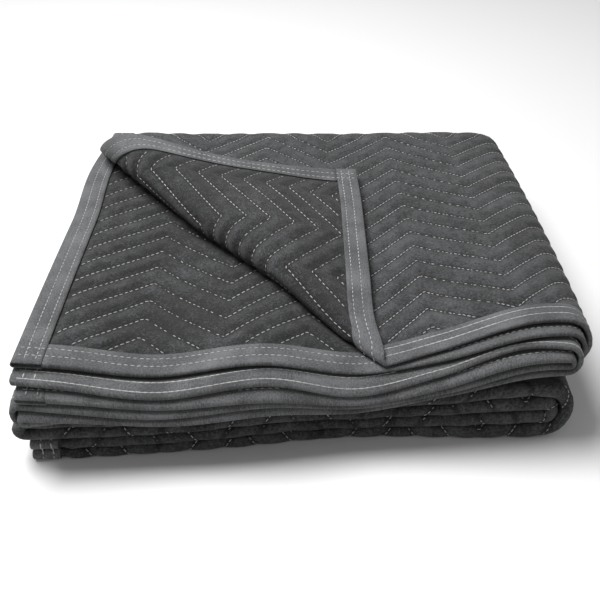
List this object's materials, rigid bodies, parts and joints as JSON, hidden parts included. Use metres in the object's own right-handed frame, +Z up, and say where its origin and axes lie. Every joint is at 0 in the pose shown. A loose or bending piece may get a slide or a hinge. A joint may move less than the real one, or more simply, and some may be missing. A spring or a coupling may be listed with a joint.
{
  "type": "folded moving blanket",
  "caption": "Quilted moving blanket with bound edges, folded into a flat stack of plies with one top corner turned back.",
  "frame": {"origin": "middle of the stack's footprint, on the surface that it lies on", "axes": "+Z up, +X to the right along the stack's longer side, the bound open edges face -Y"},
  "size_m": [0.5216, 0.4922, 0.1617],
  "materials": {
    "quilted_cloth": "matt napped grey cloth with zigzag quilting",
    "binding_tape": "matt woven grey tape with two rows of pale stitches"
  },
  "bodies": {
    "root": {"quilted_blanket": "quilted_cloth", "binding_left": "binding_tape", "binding_right": "binding_tape", "binding_front": "binding_tape", "binding_back": "binding_tape"}
  },
  "joints": []
}
